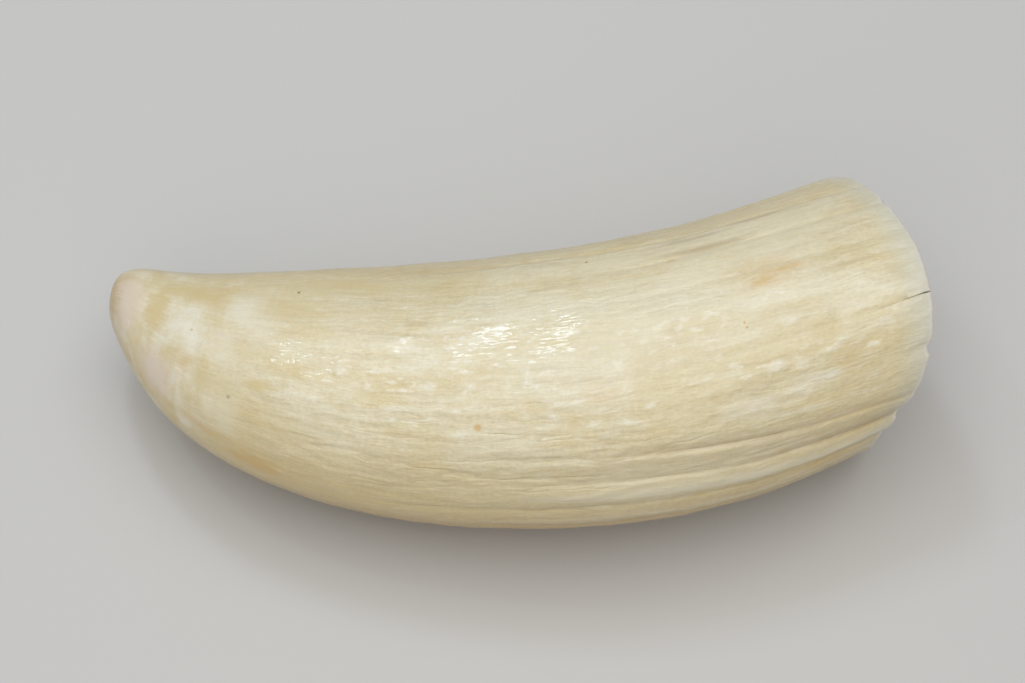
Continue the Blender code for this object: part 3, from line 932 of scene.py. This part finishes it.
def ivory_material(colours):
    """Old cream ivory: mottled and streaked along the grain, with growth bands, a pinkish worn tip, stains, darker
    grooves, a pale thin root edge and a tan hollow, and painted shade towards its edges, underneath and in its
    crack, under a soft polish that is uneven itself."""
    material = bpy.data.materials.new("ivory")
    material.use_nodes = True
    material.node_tree.nodes.clear()
    finish = IvoryFinish(material.node_tree, colours)
    shader = finish.node("ShaderNodeBsdfPrincipled", subsurface_method="BURLEY", inputs={
        "Base Color": finish.colour(), "Roughness": finish.roughness(), "IOR": 1.54,
        "Normal": finish.bump(finish.bumps(), BUMP_HEIGHT),
        "Subsurface Weight": 0.30, "Subsurface Radius": (1.0, 0.62, 0.32), "Subsurface Scale": 0.0016,
        "Coat Weight": 0.48, "Coat Roughness": 0.05, "Coat IOR": 1.5,
        "Coat Normal": finish.bump(finish.measures["dashes"], GLOSS_HEIGHT),
    })
    finish.node("ShaderNodeOutputMaterial", {"Surface": shader.outputs[0]})
    return material


def plain_material(name, colour, roughness):
    material = bpy.data.materials.new(name)
    material.use_nodes = True
    shader = material.node_tree.nodes["Principled BSDF"]
    shader.inputs["Base Color"].default_value = opaque(colour)
    shader.inputs["Roughness"].default_value = roughness
    return material


def look_from(place, target):
    """The turn that points a light or a camera from its place at the target."""
    return (target - place).to_track_quat("-Z", "Y").to_euler()


def add_softbox(name, place, target, width, depth, power, colour):
    deselect_all()
    bpy.ops.object.light_add(type="AREA", location=place, rotation=look_from(place, target))
    light = bpy.context.object
    light.name = light.data.name = name
    light.data.shape = "RECTANGLE"
    light.data.size, light.data.size_y = width, depth
    light.data.energy = power
    light.data.color = colour


LENGTH_KIND = {"unit": "LENGTH", "subtype": "DISTANCE", "precision": 5}
ANGLE_KIND = {"unit": "ROTATION", "subtype": "ANGLE"}


def number_property(name, description, default, low=0.0, high=100.0, **kind):
    return bpy.props.FloatProperty(name=name, description=description, default=default, min=low, max=high, **kind)


def length_property(*values):
    return number_property(*values, **LENGTH_KIND)


def colour_property(name, description, default):
    return bpy.props.FloatVectorProperty(name=name, description=description, default=default, size=3, min=0.0,
                                         max=1.0, subtype="COLOR")


class ToothSizes(bpy.types.PropertyGroup):
    """What a user would change of the tooth's form."""

    wall: length_property("Wall", "Thickness of the root's wall at its edge", 0.0023, 0.0015, 0.005)
    groove_depth: number_property("Grooves", "Depth of the long grooves as a share of their usual depth", 1.0, 0.0,
                                  2.0, subtype="FACTOR")
    lump_height: length_property("Lumps", "Height of the low broad lumps in the skin", 0.00022, 0.0, 0.001)
    bead_height: length_property("Beads", "Height of the small beads in rows along the skin", 0.00021, 0.0, 0.0005)
    fibre_height: length_property("Fibres", "Height of the fine ridges along the skin", 0.00009, 0.0, 0.0005)
    crack_width: length_property("Crack", "Width of the crack at the root's edge", 0.00036, 0.0001, 0.002)


class IvoryColours(bpy.types.PropertyGroup):
    """The colours of the ivory."""

    cream: colour_property("Cream", "Most of the tooth", (0.72, 0.635, 0.42))
    pale: colour_property("Pale cream", "Paler clouds in the cream", (0.78, 0.715, 0.525))
    # White is partly a painted highlight on the beads' tops
    white: colour_property("White", "Beads, ridges and flecks", (0.88, 0.85, 0.74))
    # Yellow also paints shade towards the edges and underneath, over some real yellowing, and in the beads' dips
    yellow: colour_property("Yellow", "Warmer clouds in the cream", (0.675, 0.545, 0.275))
    # Tan also paints shade underneath and in long bands along both edges
    tan: colour_property("Tan", "Streaks and the floors of grooves", (0.47, 0.35, 0.19))
    # Orange also paints shade in a long band under the bulging edge, over a real orange tint there
    orange: colour_property("Orange", "Spots and stains", (0.64, 0.40, 0.12))
    brown: colour_property("Brown", "Small dark dots", (0.22, 0.12, 0.05))
    pink: colour_property("Pinkish white", "The worn tip", (0.74, 0.63, 0.52))
    amber: colour_property("Amber", "The very end of the tip", (0.63, 0.46, 0.22))
    edge: colour_property("Edge", "The thin edge of the root, where light comes through", (0.62, 0.62, 0.53))
    rim: colour_property("Rim", "The worn bevel of the root's edge", (0.74, 0.69, 0.62))
    hollow: colour_property("Hollow", "The wall of the pulp hollow", (0.46, 0.36, 0.20))
    # The crack's colour is painted shade at the bottom of its slit
    crack: colour_property("Crack", "The bottom of the crack", (0.012, 0.008, 0.005))


class Studio(bpy.types.PropertyGroup):
    """The floor, the light and the camera."""

    floor_size: length_property("Floor", "Side of the square floor", 4.0, 0.5)
    floor_colour: colour_property("Floor colour", "The plain pale floor", (0.60, 0.59, 0.575))
    key_power: number_property("Key light", "Power of the soft light over the tooth", 2.52, unit="POWER")
    glint_power: number_property("Glint lights", "Power of the small lights behind that the polish mirrors", 0.42,
                                 unit="POWER")
    fill_power: number_property("Fill light", "Power of the broad light at the front", 1.25, unit="POWER")
    room_light: number_property("Room light", "Strength of the even light from all round", 0.30)
    elevation: number_property("Camera height", "Angle of the camera above the floor", math.radians(62.0), 0.0,
                               math.pi / 2.0, **ANGLE_KIND)
    distance: length_property("Camera distance", "Distance of the camera from the tooth", 0.460, 0.1)
    field_of_view: number_property("Field of view", "Width of the picture as an angle", math.radians(24.46),
                                   math.radians(5.0), math.radians(120.0), **ANGLE_KIND)


class AddWhaleTooth(bpy.types.Operator):
    """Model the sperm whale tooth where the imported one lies"""

    bl_idname = "mesh.whale_tooth_add"
    bl_label = "Whale tooth"
    bl_options = {"REGISTER", "UNDO"}

    def execute(self, context):
        sizes = context.scene.tooth_sizes
        tooth, rings = rough_out(sizes.wall / MILLIMETRE)
        slide_to_grooves(tooth, rings)
        halve_faces(tooth)
        carve(tooth, sizes)
        stand_in_place(tooth)
        bpy.ops.object.shade_smooth_by_angle(angle=SHARP_EDGE)
        tooth.data.materials.append(ivory_material(context.scene.ivory_colours))
        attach(tooth, "root")
        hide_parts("tooth")
        return {"FINISHED"}


class AddToothStudio(bpy.types.Operator):
    """Add a pale floor, soft light and a camera"""

    bl_idname = "scene.tooth_studio_add"
    bl_label = "Studio"
    bl_options = {"REGISTER", "UNDO"}

    def execute(self, context):
        studio = context.scene.tooth_studio
        middle = (CAD_LOW + CAD_HIGH) / 2.0
        deselect_all()
        bpy.ops.mesh.primitive_plane_add(size=studio.floor_size, location=(0.0, 0.0, CAD_LOW.z))
        floor = context.object
        floor.name = floor.data.name = "floor"
        bpy.ops.object.transform_apply(location=True, rotation=True, scale=True)
        floor.data.materials.append(plain_material("pale_floor", studio.floor_colour, FLOOR_ROUGHNESS))

        add_softbox("key", middle + Vector(KEY_PLACE), middle, *KEY_SIZE, studio.key_power, KEY_COLOUR)
        for *place, width, depth, share in GLINTS:
            power = share * studio.glint_power
            add_softbox("glint", middle + Vector(place), middle, width, depth, power, GLINT_COLOUR)
        add_softbox("fill", middle + Vector(FILL_PLACE), middle, *FILL_SIZE, studio.fill_power, FILL_COLOUR)
        world = bpy.data.worlds.new("room")
        world.use_nodes = True
        background = world.node_tree.nodes["Background"]
        background.inputs["Color"].default_value = opaque(ROOM_COLOUR)
        background.inputs["Strength"].default_value = studio.room_light
        context.scene.world = world

        target = Vector(CAMERA_TARGET)
        place = target + studio.distance * Vector((0.0, -math.cos(studio.elevation), math.sin(studio.elevation)))
        deselect_all()
        bpy.ops.object.camera_add(location=place, rotation=look_from(place, target))
        camera = context.object
        camera.name = camera.data.name = "camera"
        camera.data.sensor_fit = "HORIZONTAL"
        camera.data.angle = studio.field_of_view
        context.scene.camera = camera
        context.scene.view_settings.view_transform = "Standard"
        return {"FINISHED"}


class WhaleToothPanel(bpy.types.Panel):
    """The tooth's sizes and colours, and the stage"""

    bl_idname = "VIEW3D_PT_whale_tooth"
    bl_label = "Whale tooth"
    bl_space_type = "VIEW_3D"
    bl_region_type = "UI"
    bl_category = "Whale tooth"

    def draw(self, context):
        for operator, group in ((AddWhaleTooth, context.scene.tooth_sizes), (None, context.scene.ivory_colours),
                                (AddToothStudio, context.scene.tooth_studio)):
            column = self.layout.column(align=True)
            for name in group.__annotations__:
                column.prop(group, name)
            if operator:
                self.layout.operator(operator.bl_idname)


CLASSES = (ToothSizes, IvoryColours, Studio, AddWhaleTooth, AddToothStudio, WhaleToothPanel)
GROUPS = {"tooth_sizes": ToothSizes, "ivory_colours": IvoryColours, "tooth_studio": Studio}


def register():
    for part in CLASSES:
        bpy.utils.register_class(part)
    for name, group in GROUPS.items():
        setattr(bpy.types.Scene, name, bpy.props.PointerProperty(type=group))


def unregister():
    for name in GROUPS:
        delattr(bpy.types.Scene, name)
    for part in reversed(CLASSES):
        bpy.utils.unregister_class(part)


def main():
    register()
    bpy.ops.mesh.whale_tooth_add()
    bpy.ops.scene.tooth_studio_add()


if __name__ == "__main__":
    main()
